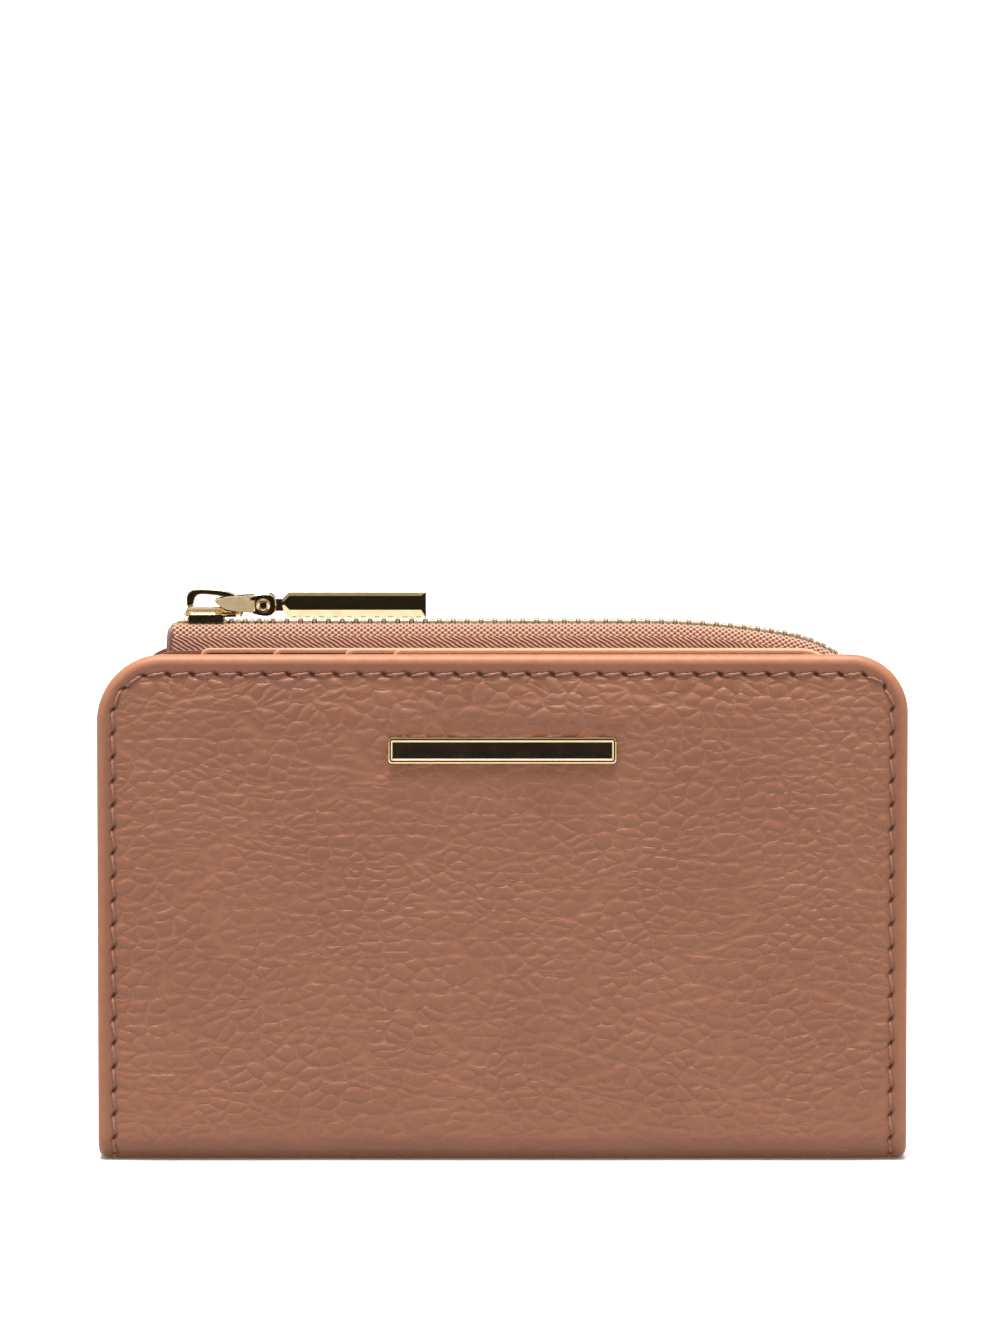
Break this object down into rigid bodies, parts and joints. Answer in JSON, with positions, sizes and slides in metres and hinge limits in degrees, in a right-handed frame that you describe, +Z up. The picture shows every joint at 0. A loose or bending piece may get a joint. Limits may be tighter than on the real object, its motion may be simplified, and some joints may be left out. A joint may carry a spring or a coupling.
{
  "type": "bi-fold zip wallet",
  "caption": "Small leather bi-fold wallet standing on its folded spine, with an L-shaped zip coin pocket and stepped card slots between the covers.",
  "frame": {"origin": "middle of the flat underside of the folded spine, where the closed wallet stands", "axes": "+X to the right along the spine, +Y from the front cover to the back cover, +Z up to the zip"},
  "size_m": [0.125, 0.0212, 0.0878],
  "materials": {
    "leather": "pebbled full grain, satin",
    "inner_leather": "smooth, fine grain",
    "slot_leather": "fine grain with smooth painted edges",
    "board": "pressed fibre board, matt",
    "thread": "twisted polyester, slight sheen",
    "tape": "herringbone weave",
    "pocket_lining": "fine twill",
    "gold_metal": "polished light gold plating"
  },
  "bodies": {
    "spine": {"spine_leather": "leather", "spine_lining": "inner_leather"},
    "front_cover": {"front_leather": "leather", "front_board": "board", "front_lining": "inner_leather", "front_thread": "thread", "name_plate": "gold_metal", "plate_clip_left": "gold_metal", "plate_clip_right": "gold_metal"},
    "back_cover": {"back_leather": "leather", "back_board": "board", "back_lining": "inner_leather", "back_thread": "thread", "pocket_front_wall": "leather", "pocket_back_wall": "leather", "pocket_gusset": "inner_leather", "pocket_hinge_strip": "inner_leather", "coin_lining_front": "pocket_lining", "coin_lining_back": "pocket_lining", "card_slot_1": "slot_leather", "card_slot_2": "slot_leather", "card_slot_3": "slot_leather", "card_slot_4": "slot_leather", "zip_tape_front": "tape", "zip_tape_back": "tape", "zip_teeth_front": "gold_metal", "zip_teeth_back": "gold_metal", "zip_top_stop_front": "gold_metal", "zip_top_stop_back": "gold_metal", "zip_bottom_stop": "gold_metal", "zip_end_tab": "tape"},
    "slider": {"slider_body": "gold_metal", "slider_bridge": "gold_metal"},
    "pull_link": {"pull_link": "gold_metal", "pull_pin": "gold_metal"},
    "pull_bar": {"pull_bar": "gold_metal"}
  },
  "joints": [
    {"name": "front_fold", "type": "hinge", "parent": "spine", "child": "front_cover", "pos_m": [0, -0.00914, 0.00086], "axis": [1, 0, 0], "range_deg": [0, 90]},
    {"name": "back_fold", "type": "hinge", "parent": "spine", "child": "back_cover", "pos_m": [0, 0.00914, 0.00086], "axis": [-1, 0, 0], "range_deg": [0, 90]},
    {"name": "slider_travel", "type": "slide", "parent": "back_cover", "child": "slider", "axis": [1, 0, 0], "range_m": [0, 0.062]},
    {"name": "link_swing", "type": "hinge", "parent": "slider", "child": "pull_link", "pos_m": [-0.0434, 0.0007, 0.0863], "axis": [0, -1, 0], "range_deg": [0, 135]},
    {"name": "bar_swing", "type": "hinge", "parent": "pull_link", "child": "pull_bar", "pos_m": [-0.037, 0.0007, 0.08535], "axis": [0, -1, 0], "range_deg": [0, 45]}
  ]
}
